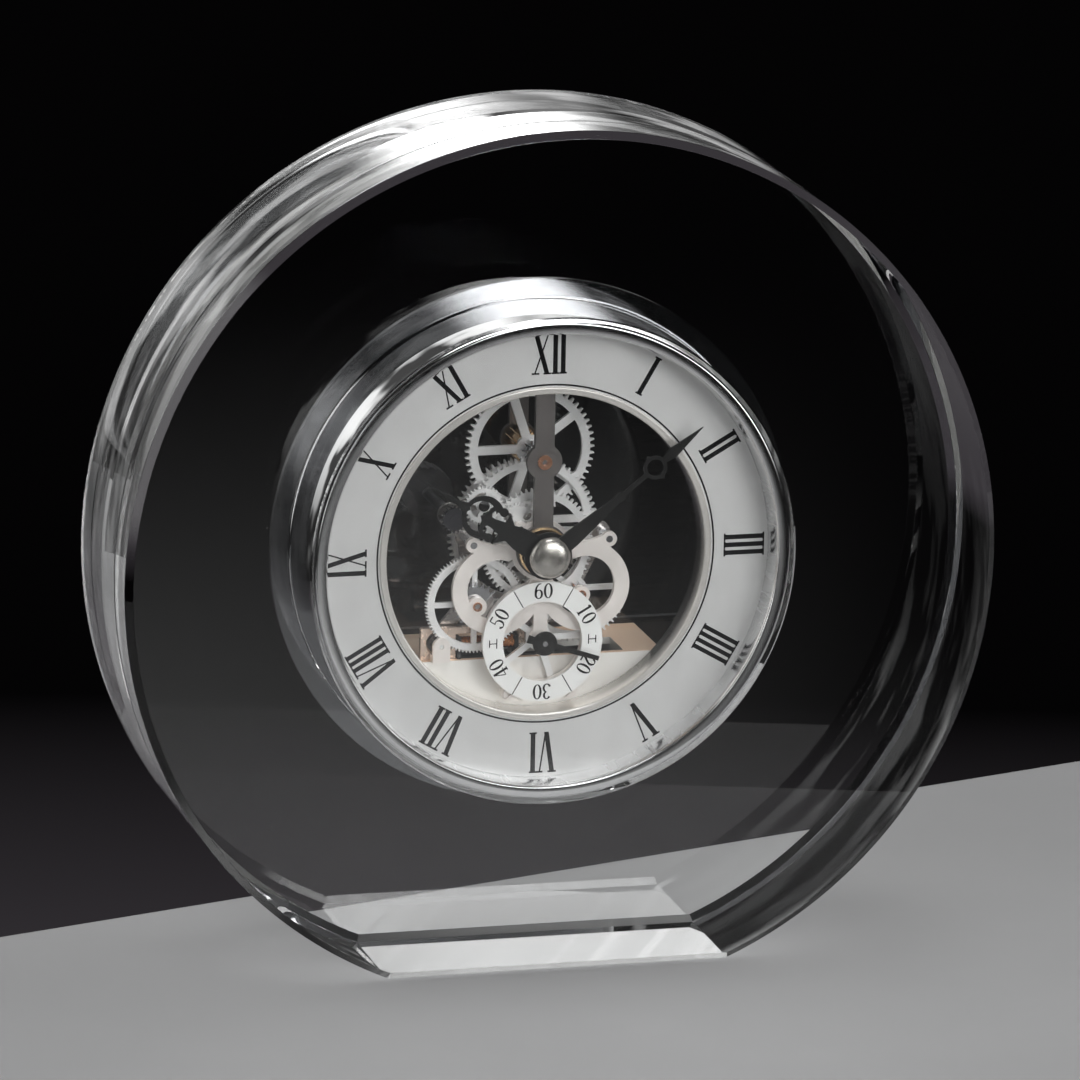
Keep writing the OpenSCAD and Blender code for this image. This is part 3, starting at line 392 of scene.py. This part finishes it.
def lathe(name, profile, finish, body, steps=256, smooth=35):
    """Turned piece about the clock's axis. The profile is a closed loop of (radius, depth)."""
    verts, faces, rows = [], [], []
    for r, d in profile:
        if r == 0:
            rows.append([len(verts)] * steps)
            verts.append(world(0, 0, d))
            continue
        rows.append(range(len(verts), len(verts) + steps))
        for i in range(steps):
            a = 2 * math.pi * i / steps
            verts.append(world(r * math.cos(a), r * math.sin(a), d))
    for row, after in zip(rows, rows[1:] + rows[:1]):
        for i in range(steps):
            k = (i + 1) % steps
            quad = [row[i], row[k], after[k], after[i]]
            face = [v for q, v in enumerate(quad) if v not in quad[:q]]
            if len(face) > 2:
                faces.append(face)
    obj = add(name, verts, faces, finish, body)
    face_outwards(obj.data)
    shade(obj.data, smooth)
    return obj


def arc(cx, cy, r, start, end, count):
    """Points of a round corner in a profile."""
    return [(cx + r * math.cos(math.radians(start + (end - start) * i / count)),
             cy + r * math.sin(math.radians(start + (end - start) * i / count))) for i in range(count + 1)]


def run_out(outline, low, high, corner):
    """Corners and faces of an outline run from low to high. The corner function places each point."""
    n = len(outline)
    verts = [corner(a, b, t) for t in (low, high) for a, b in outline]
    faces = [list(range(n)), list(range(2 * n - 1, n - 1, -1))]
    faces += [[i, i + n, (i + 1) % n + n, (i + 1) % n] for i in range(n)]
    return verts, faces


def cutter(name, outline, low, high, corner):
    """Scratch solid for cutting, in millimetres."""
    verts, faces = run_out(outline, low, high, corner)
    mesh = bpy.data.meshes.new(name)
    mesh.from_pydata([v * MM for v in verts], [], faces)
    face_outwards(mesh)
    return link(name, mesh)


def cut(obj, tool, operation, smooth=35):
    """Applies a boolean with a scratch solid, which is then removed."""
    mod = obj.modifiers.new("cut", "BOOLEAN")
    mod.operation = operation
    mod.solver = "EXACT"
    mod.object = tool
    graph = bpy.context.evaluated_depsgraph_get()
    mesh = bpy.data.meshes.new_from_object(obj.evaluated_get(graph))
    obj.modifiers.clear()
    old = obj.data
    obj.data = mesh
    bpy.data.meshes.remove(old)
    bpy.data.objects.remove(tool)
    shade(mesh, smooth)


# Crystal
def crystal():
    """Disc with polished cut edges, bored from the back and cut flat for its foot."""
    front = -DISC_T / 2 - FLOOR_Y
    back = DISC_T / 2 - FLOOR_Y - AIR
    rim, lip, smooth = 0.35, 0.25, 8
    # Each edge is cut at 45 degrees, and the corners of the cut are broken by these small steps.
    along, across, rest = 0.06, 0.04, 0.05
    inner = DISC_R - EDGE
    outer = DISC_R - across
    profile = [(0, front), (inner - along, front), (inner, front + across), (outer, front + EDGE - rest),
               (DISC_R, front + EDGE + along), (DISC_R, back - EDGE - along), (outer, back - EDGE + rest),
               (inner, back - across), (inner - along, back), (BORE_R + rim, back),
               (BORE_R + 0.1, back - 0.1),
               (BORE_R, back - rim), (BORE_R, lip), (BORE_R - lip, 0), (0, 0)]
    disc = lathe("crystal_disc", profile, "crystal", "case", 360, smooth)
    half, reach, tall = DISC_T / 2, 150, 300
    foot = [(-half + EDGE, 0), (half - EDGE, 0), (half, EDGE), (half, tall), (-half, tall), (-half, EDGE)]
    block = cutter("foot_block", foot, -reach, reach, lambda y, z, x: Vector((x, y, z)))
    cut(disc, block, "INTERSECT", smooth)
    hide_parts("crystal_block")
    for glass_piece in (disc, NODES["front_lens"], NODES["rear_lens"]):
        glass_piece.visible_shadow = False


crystal()


# Turned metal pieces
def front_bezel():
    """Polished ring with a rolled nose between lens and dial."""
    inner, seat, outer = 38.92, 40.0, 41.19
    profile = [(inner - 0.02, 0.9), (inner, 0.75)] + arc(39.35, 0.55, 0.22, 200, 270, 5)
    profile += arc(outer - 0.54, 0.85, 0.54, 270, 360, 8)
    profile += [(outer, 1.68), (seat + 0.01, 1.7), (seat, 0.9)]
    ring = lathe("front_bezel_ring", profile, "chrome", "case")
    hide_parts("front_bezel")


def dial_spacer():
    """Sloping satin wall between bezel and dial."""
    outer, front, foot = 39.7, 1.7, 6.0
    profile = [(outer, front + 0.02), (outer, foot - 0.02), (outer - 0.95, foot), (outer - 0.98, foot - 0.1),
               (outer - 0.7, front + 0.1), (outer - 0.62, front)]
    ring = lathe("dial_spacer_ring", profile, "satin", "case")
    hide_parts("dial_spacer")


def window_flange():
    """Rolled lip round the dial's window, notched at the top for the upper bridge."""
    inner, outer, back = 27.6, 28.25, 10.8
    profile = [(inner, back), (inner, 6.2)] + arc(inner + 0.35, 5.95, 0.35, 180, 262, 6)
    profile += arc(28.55, 5.83, 0.22, 270, 350, 5) + [(28.8, DIAL_D), (outer, DIAL_D), (outer, back)]
    ring = lathe("window_flange_ring", profile, "flange", "case")
    half, low, high = 1.95, AXIS_Z + 24, AXIS_Z + 31.3
    notch = [(-half, low), (half, low), (half, high), (-half, high)]
    gap = cutter("notch", notch, FLOOR_Y + 7.7, FLOOR_Y + 12, lambda x, z, y: Vector((x, y, z)))
    cut(ring, gap, "DIFFERENCE")
    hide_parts("window_flange")


def cap_nut():
    """Domed nut over the hands, hollow at the back."""
    r, front, back, rise, bore, steps = 3.55, 2.1, 3.5, 1.25, 0.76, 12
    profile = [(0, front)]
    for i in range(1, steps + 1):
        a = math.radians(90 * i / steps)
        profile.append((r * math.sin(a), front + rise * (1 - math.cos(a))))
    profile += [(r, back - 0.03), (r - 0.03, back), (bore + 0.02, back), (bore, back - 0.05),
                (bore, front + 0.5), (0, front + 0.5)]
    dome = lathe("cap_nut_dome", profile, "nickel", "minutes", 96)
    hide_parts("cap_nut")


front_bezel()
dial_spacer()
window_flange()
cap_nut()


# Printing on the dials
PRINT_T = 0.02
PRINT_GAP = 0.001


def place(centre, angle, radius, pts):
    """Turns flat points (across, up) to a place on a dial, with their foot towards the centre."""
    a = math.radians(angle)
    up = Vector((math.sin(a), math.cos(a)))
    right = Vector((math.cos(a), -math.sin(a)))
    spots = [Vector(centre) + right * x + up * (radius + y) for x, y in pts]
    return [(p.x, p.y) for p in spots]


def printed(name, shapes, depth):
    """Thin raised print on a dial from a list of flat convex outlines."""
    verts, faces = [], []
    for shape in shapes:
        area = sum(a[0] * b[1] - b[0] * a[1] for a, b in zip(shape, shape[1:] + shape[:1]))
        shape = shape if area > 0 else shape[::-1]
        n, first = len(shape), len(verts)
        for d in (depth - PRINT_T, depth - PRINT_GAP):
            verts += [world(x, z, d) for x, z in shape]
        faces.append([first + i for i in range(n)])
        faces.append([first + n + i for i in range(n - 1, -1, -1)])
        for i in range(n):
            k = (i + 1) % n
            faces.append([first + i, first + n + i, first + n + k, first + k])
    return add(name, verts, faces, "print", "case")


def bar(x0, y0, x1, y1, w0, w1=None):
    """Tapering straight stroke as one outline."""
    w1 = w0 if w1 is None else w1
    d = Vector((x1 - x0, y1 - y0)).normalized()
    n = Vector((-d.y, d.x))
    return [(x0 + n.x * w0 / 2, y0 + n.y * w0 / 2), (x0 - n.x * w0 / 2, y0 - n.y * w0 / 2),
            (x1 - n.x * w1 / 2, y1 - n.y * w1 / 2), (x1 + n.x * w1 / 2, y1 + n.y * w1 / 2)]


def upright(x0, x1, h, w):
    """Stroke from the foot line to the head line, with flat ends."""
    return [(x0 - w / 2, 0), (x0 + w / 2, 0), (x1 + w / 2, h), (x1 - w / 2, h)]


def serif(x0, x1, y):
    """Flat bar across the end of a stroke."""
    t = 0.3
    return [(x0, y), (x1, y), (x1, y + t), (x0, y + t)]


def roman(text, h):
    """Outlines of a Roman numeral, centred, as (across, up)."""
    thick, thin, wide, gap = 0.92, 0.3, 3.3, 0.62
    head = h - 0.3
    shapes, x = [], 0.0
    for letter in text:
        end = x + (thick if letter == "I" else wide)
        if letter == "I":
            shapes.append(upright(x + thick / 2, x + thick / 2, h, thick))
            shapes += [serif(x - 0.28, end + 0.28, y) for y in (0, head)]
        elif letter == "V":
            shapes.append(upright(x + wide / 2 + 0.1, x + 0.55, h, thick))
            shapes.append(upright(x + wide / 2 + 0.25, end - 0.25, h, thin))
            shapes.append(serif(x - 0.25, x + 1.4, head))
            shapes.append(serif(end - 0.9, end + 0.35, head))
        else:
            shapes.append(upright(end - 0.5, x + 0.5, h, thick))
            shapes.append(upright(x + 0.3, end - 0.3, h, thin))
            for y in (0, head):
                shapes.append(serif(x - 0.25, x + 1.25, y))
                shapes.append(serif(end - 1.25, end + 0.25, y))
        x = end + gap
    width = x - gap
    return [[(px - width / 2, py) for px, py in shape] for shape in shapes]


def chapter_numerals():
    """The hours, drawn in a little so that the long ones fit."""
    height, foot_r = 7.1, 31.0
    squeeze, squeeze_long = 0.88, 0.8
    hours = ["XII", "I", "II", "III", "IIII", "V", "VI", "VII", "VIII", "IX", "X", "XI"]
    for i, text in enumerate(hours):
        k = squeeze_long if len(text) > 3 else squeeze
        flat = [[(x * k, y) for x, y in shape] for shape in roman(text, height)]
        shapes = [place((0, 0), 30 * i, foot_r, shape) for shape in flat]
        printed("numeral_%02d" % (i or 12), shapes, DIAL_D)


def window_line():
    """Fine black circle round the dial's window."""
    inner, outer, steps = 29.05, 29.35, 180
    shapes = []
    for i in range(steps):
        a, b = 2 * math.pi * i / steps, 2 * math.pi * (i + 1) / steps
        shapes.append([(r * math.cos(t), r * math.sin(t))
                       for r, t in ((inner, a), (outer, a), (outer, b), (inner, b))])
    printed("window_line", shapes, DIAL_D)


chapter_numerals()
window_line()


def stroke(points, widths):
    """Outlines that follow a curve with changing width."""
    shapes = []
    for i in range(len(points) - 1):
        (x0, y0), (x1, y1) = points[i], points[i + 1]
        shapes.append(bar(x0, y0, x1, y1, widths[i], widths[i + 1]))
    return shapes


def curve(cx, cy, rx, ry, start, end, count=14):
    """Points along part of an ellipse."""
    angles = [math.radians(start + (end - start) * i / count) for i in range(count + 1)]
    return [(cx + rx * math.cos(a), cy + ry * math.sin(a)) for a in angles]


def swell(points, cx, rx, thin, thick):
    """Stroke widths of a modern serif figure: thick at the sides, thin at top and bottom."""
    return [thin + (thick - thin) * min(1.0, abs(x - cx) / rx) ** 1.5 for x, y in points]


def digit(c):
    """Outlines of a serif figure, 1 high and about 0.56 wide, centred across."""
    thin, thick, flat = 0.06, 0.15, 0.1

    def swollen(points, cx, rx):
        return stroke(points, swell(points, cx, rx, thin, thick))

    if c == "0":
        return swollen(curve(0, 0.5, 0.22, 0.47, 0, 360, 24), 0, 0.22)
    if c == "1":
        return [bar(0, 0.0, 0, 1.0, thick), bar(-0.15, 0.02, 0.15, 0.02, thin),
                bar(-0.16, 0.86, 0.0, 0.98, thin, thick)]
    if c == "2":
        neck = curve(0, 0.73, 0.2, 0.25, 170, -35, 14) + [(-0.2, 0.06)]
        return swollen(neck, 0, 0.2) + [bar(-0.24, 0.05, 0.24, 0.05, flat)]
    if c == "3":
        upper = curve(-0.01, 0.75, 0.18, 0.23, 160, -80, 12)
        lower = curve(-0.01, 0.27, 0.21, 0.26, 85, -160, 14)
        return swollen(upper, 0, 0.18) + swollen(lower, 0, 0.21)
    if c == "4":
        return [bar(0.08, 0, 0.08, 1.0, thick), bar(0.06, 0.98, -0.26, 0.3, thin),
                bar(-0.26, 0.28, 0.26, 0.28, thin), bar(-0.06, 0.02, 0.22, 0.02, thin)]
    if c == "5":
        bowl = curve(-0.02, 0.3, 0.22, 0.29, 115, -155, 16)
        flag = [bar(-0.14, 0.95, 0.2, 0.95, 0.09), bar(-0.14, 0.95, -0.16, 0.52, thin)]
        return flag + swollen(bowl, 0, 0.22)
    bowl = curve(0, 0.3, 0.21, 0.28, 0, 360, 22)
    back = curve(0.1, 0.42, 0.31, 0.56, 185, 80, 10)
    return swollen(bowl, 0, 0.21) + stroke(back, [thick * (1 - 0.06 * i) for i in range(len(back))])


def seconds_figures():
    """Six figures, four lines between them, and an H-shaped mark at 15 and 45 seconds."""
    height, advance, foot_r = 2.65, 0.62, 7.45
    for k, text in enumerate(["60", "10", "20", "30", "40", "50"]):
        shapes = []
        for j, c in enumerate(text):
            shift = (j - 0.5) * advance
            for outline in digit(c):
                pts = [((x + shift) * height, y * height) for x, y in outline]
                shapes.append(place(SECONDS, 60 * k, foot_r, pts))
        printed("seconds_" + text, shapes, SECONDS_D)
    line_r, line_l, line_w = 6.95, 3.4, 0.17
    lines = [place(SECONDS, a, line_r, bar(0, 0, 0, line_l, line_w)) for a in (30, 150, 210, 330)]
    mark_r, low, high = 7.9, 0.1, 1.35
    mark = [bar(-0.85, low, 0.85, low, 0.18), bar(-0.65, high, 0.65, high, 0.18), bar(0, low, 0, high, 0.16)]
    lines += [place(SECONDS, a, mark_r, part) for a in (90, 270) for part in mark]
    printed("seconds_marks", lines, SECONDS_D)


seconds_figures()


# Stage
def stage():
    """Slab with a slantwise far edge behind the disc and a broad rolled front edge."""
    length, flat, roll, back_r, top, thick = 0.9, 0.17, 0.08, 0.004, -0.0001, 0.02
    turn, edge_y, shift = math.radians(17.5), 0.051, 0.12
    profile = []
    for degrees in (0, 30, 60, 90):
        a = math.radians(degrees)
        profile.append((-back_r + back_r * math.cos(a), top - back_r + back_r * math.sin(a)))
    for degrees in range(0, 91, 5):
        a = math.radians(degrees)
        profile.append((-flat - roll * math.sin(a), top - roll + roll * math.cos(a)))
    low = top - roll - thick
    profile += [(-flat - roll, low), (0, low)]
    verts, faces = run_out(
        profile, -length / 2 + shift, length / 2 + shift,
        lambda y, z, x: Vector((x * math.cos(turn) - y * math.sin(turn),
                                x * math.sin(turn) + y * math.cos(turn) + edge_y, z)))
    mesh = bpy.data.meshes.new("floor")
    mesh.from_pydata(verts, [], faces)
    shade(mesh, 35)
    g = Graph("floor_pale", Metallic=0.0, Roughness=0.6)
    colour = (0.37, 0.37, 0.375)
    g.colour(g.ramp(g.noise(9, 5), [(0.3, tone(colour, 0.94)), (0.7, tone(colour, 1.05))]))
    mesh.materials.append(g.mat)
    link("floor", mesh)


stage()


# Lights
class LightGraph:
    """An area light's node tree, worked out from places on the light and in the room."""

    def __init__(self, data):
        data.use_nodes = True
        self.tree = data.node_tree
        self.emission = self.tree.nodes["Emission"]
        geometry = self.tree.nodes.new("ShaderNodeNewGeometry")
        self.face = geometry.outputs["Parametric"]
        self.room = geometry.outputs["Position"]

    def put(self, socket, value):
        if isinstance(value, bpy.types.NodeSocket):
            self.tree.links.new(value, socket)
        else:
            socket.default_value = value

    def math(self, operation, *values):
        n = self.tree.nodes.new("ShaderNodeMath")
        n.operation = operation
        for socket, value in zip(n.inputs, values):
            self.put(socket, value)
        return n.outputs[0]

    def vector(self, operation, out, *values):
        n = self.tree.nodes.new("ShaderNodeVectorMath")
        n.operation = operation
        for socket, value in zip(n.inputs, values):
            self.put(socket, value)
        return n.outputs[out]

    def ease(self, value, start, end, low=0.0, high=1.0):
        n = self.tree.nodes.new("ShaderNodeMapRange")
        n.interpolation_type = "SMOOTHSTEP"
        for socket, v in zip(n.inputs, (value, start, end, low, high)):
            self.put(socket, v)
        return n.outputs[0]

    def split(self, value):
        n = self.tree.nodes.new("ShaderNodeSeparateXYZ")
        self.put(n.inputs[0], value)
        return n.outputs

    def edges(self, soft):
        """Falls to nothing towards the edges of the light."""
        across = self.split(self.face)
        fades = [self.ease(self.math("PINGPONG", across[k], 0.5), 0.0, soft) for k in (0, 1)]
        return self.math("MULTIPLY", *fades)

    def round_axis(self):
        """Distance from the clock's axis, and the unit direction away from it."""
        centred = self.vector("SUBTRACT", 0, self.room, (0.0, 0.0, AXIS_Z * MM))
        flat = self.vector("MULTIPLY", 0, centred, (1.0, 0.0, 1.0))
        return self.vector("LENGTH", 1, flat), self.vector("NORMALIZE", 0, flat)

    def folds(self, fine, low, high):
        """Fine rings of cloth folds round the clock's axis."""
        far, way = self.round_axis()
        drift = 1.6
        turn = self.split(self.vector("MULTIPLY", 0, way, (drift, drift, drift)))
        spot = self.tree.nodes.new("ShaderNodeCombineXYZ")
        for socket, value in zip(spot.inputs, (self.math("MULTIPLY", far, fine), turn[0], turn[2])):
            self.put(socket, value)
        cloth = self.tree.nodes.new("ShaderNodeTexNoise")
        self.put(cloth.inputs["Vector"], spot.outputs[0])
        cloth.inputs["Scale"].default_value = 1.0
        cloth.inputs["Detail"].default_value = 2.0
        return self.ease(cloth.outputs["Fac"], 0.47, 0.6, low, high)

    def ring(self, stops, near):
        """Brightness by direction round the axis, between the near distance and the ring's outside."""
        outside, fade = 0.55, 0.05
        far, way = self.round_axis()
        side = self.split(way)
        turn = self.math("DIVIDE", self.math("ARCTAN2", side[2], side[0]), 2 * math.pi)
        ramp = self.tree.nodes.new("ShaderNodeValToRGB")
        self.put(ramp.inputs[0], self.math("FRACT", self.math("ADD", turn, 1.0)))
        elements = ramp.color_ramp.elements
        while len(elements) < len(stops):
            elements.new(0.5)
        for element, (degrees, level) in zip(elements, stops):
            element.position = degrees / 360
            element.color = (level, level, level, 1.0)
        inside = self.ease(far, near, near + 0.012)
        band = self.math("MULTIPLY", inside, self.ease(far, outside, outside - fade))
        return self.math("MULTIPLY", ramp.outputs[0], band)


def softbox(name, place_at, aim, size, radiance, soft=0.18, spread=180, folds=None, ring=None, near=0.0):
    """Area light with a given brightness, faded edges and, where asked for, folds and a ring."""
    data = bpy.data.lights.new(name, "AREA")
    data.shape = "RECTANGLE"
    data.spread = math.radians(spread)
    data.size, data.size_y = size
    data.energy = radiance * math.pi * size[0] * size[1]
    g = LightGraph(data)
    level = g.edges(soft)
    if folds:
        level = g.math("MULTIPLY", level, g.folds(*folds))
    if ring:
        level = g.math("MULTIPLY", level, g.ring(ring, near))
    g.put(g.emission.inputs["Strength"], level)
    obj = bpy.data.objects.new(name, data)
    scene.collection.objects.link(obj)
    obj.location = place_at
    obj.rotation_euler = (Vector(aim) - Vector(place_at)).to_track_quat("-Z", "Y").to_euler()
    obj.visible_camera = False


# The disc's rim and bore send the camera's view out in a narrow cone round the clock's axis, to the
# front and to the back. A ring of cloth at each end decides what they show, by direction round it:
# (degrees, brightness), counted from the right over the top.
BACK_RING = [(0, 0.35), (18, 0.5), (32, 0.1), (58, 0.1), (72, 0.8), (95, 0.7), (125, 0.75), (155, 0.75),
             (185, 0.4), (205, 0.12), (222, 0.05), (236, 0.0), (345, 0.0), (353, 0.25)]
FRONT_RING = [(0, 0.5), (20, 0.7), (50, 1.0), (80, 0.6), (100, 0.5), (130, 0.5), (155, 0.9), (175, 1.0),
              (190, 0.4), (205, 0.15), (250, 0.15), (270, 0.1), (286, 0.0), (340, 0.0), (352, 0.4)]


def rings():
    """The two rings of cloth, each on a plane square to the clock's axis."""
    centre = Vector((0, 0, AXIS_Z * MM))
    reach, width, folds = 1.1, 1.3, (260, 0.08, 1.3)
    ends = (("ring_back", reach, BACK_RING, 0.405), ("ring_front", -reach, FRONT_RING, 0.3))
    for name, y, stops, near in ends:
        spot = centre + Vector((0, y, 0))
        softbox(name, spot, centre, (width, width), 1.0, folds=folds, ring=stops, near=near)


softbox("key_left", (-0.95, -0.48, 0.42), (0, 0, 0.07), (0.7, 1.1), 1.6)
softbox("side_right", (0.85, -1.0, 0.2), (0, 0, 0.07), (0.5, 0.6), 4.2, soft=0.3)
softbox("top", (0.0, 0.1, 0.9), (0, 0.02, 0.0), (0.8, 0.5), 2.4, spread=110)
softbox("top_front", (0.15, -0.6, 0.95), (0, 0, 0.06), (0.5, 0.4), 6.0, soft=0.3)
softbox("fill_front", (0.45, -1.25, 0.52), (0, 0, 0.1), (1.0, 0.75), 4.7, soft=0.3)
softbox("back_top", (0.3, 1.05, 0.36), (0.03, 0, 0.03), (0.26, 0.24), 0.5, soft=0.4)
rings()
softbox("foot_side", (1.04, -0.32, 0.3), (0, 0, 0.0), (0.3, 0.3), 0.16, soft=0.4)
softbox("haze_front", (0.1, -1.1, -0.41), (0.05, 0, -0.12), (0.72, 0.56), 0.52, soft=0.4)


def room_glow():
    """Almost dark room with a faint glow low down, which the disc's flat face mirrors."""
    data = bpy.data.worlds.new("studio")
    scene.world = data
    data.use_nodes = True
    nodes, links = data.node_tree.nodes, data.node_tree.links
    room = nodes.new("ShaderNodeTexCoord")
    split = nodes.new("ShaderNodeSeparateXYZ")
    glow = nodes.new("ShaderNodeMapRange")
    links.new(room.outputs["Generated"], split.inputs[0])
    links.new(split.outputs["Z"], glow.inputs["Value"])
    for key, value in (("From Min", -0.266), ("From Max", -0.305), ("To Min", 0.0012), ("To Max", 0.042)):
        glow.inputs[key].default_value = value
    background = nodes["Background"]
    background.inputs["Color"].default_value = (0.98, 0.88, 1.0, 1.0)
    links.new(glow.outputs[0], background.inputs["Strength"])


room_glow()
scene.view_settings.view_transform = "Standard"
scene.cycles.max_bounces = 24
scene.cycles.glossy_bounces = 20
scene.cycles.transmission_bounces = 24
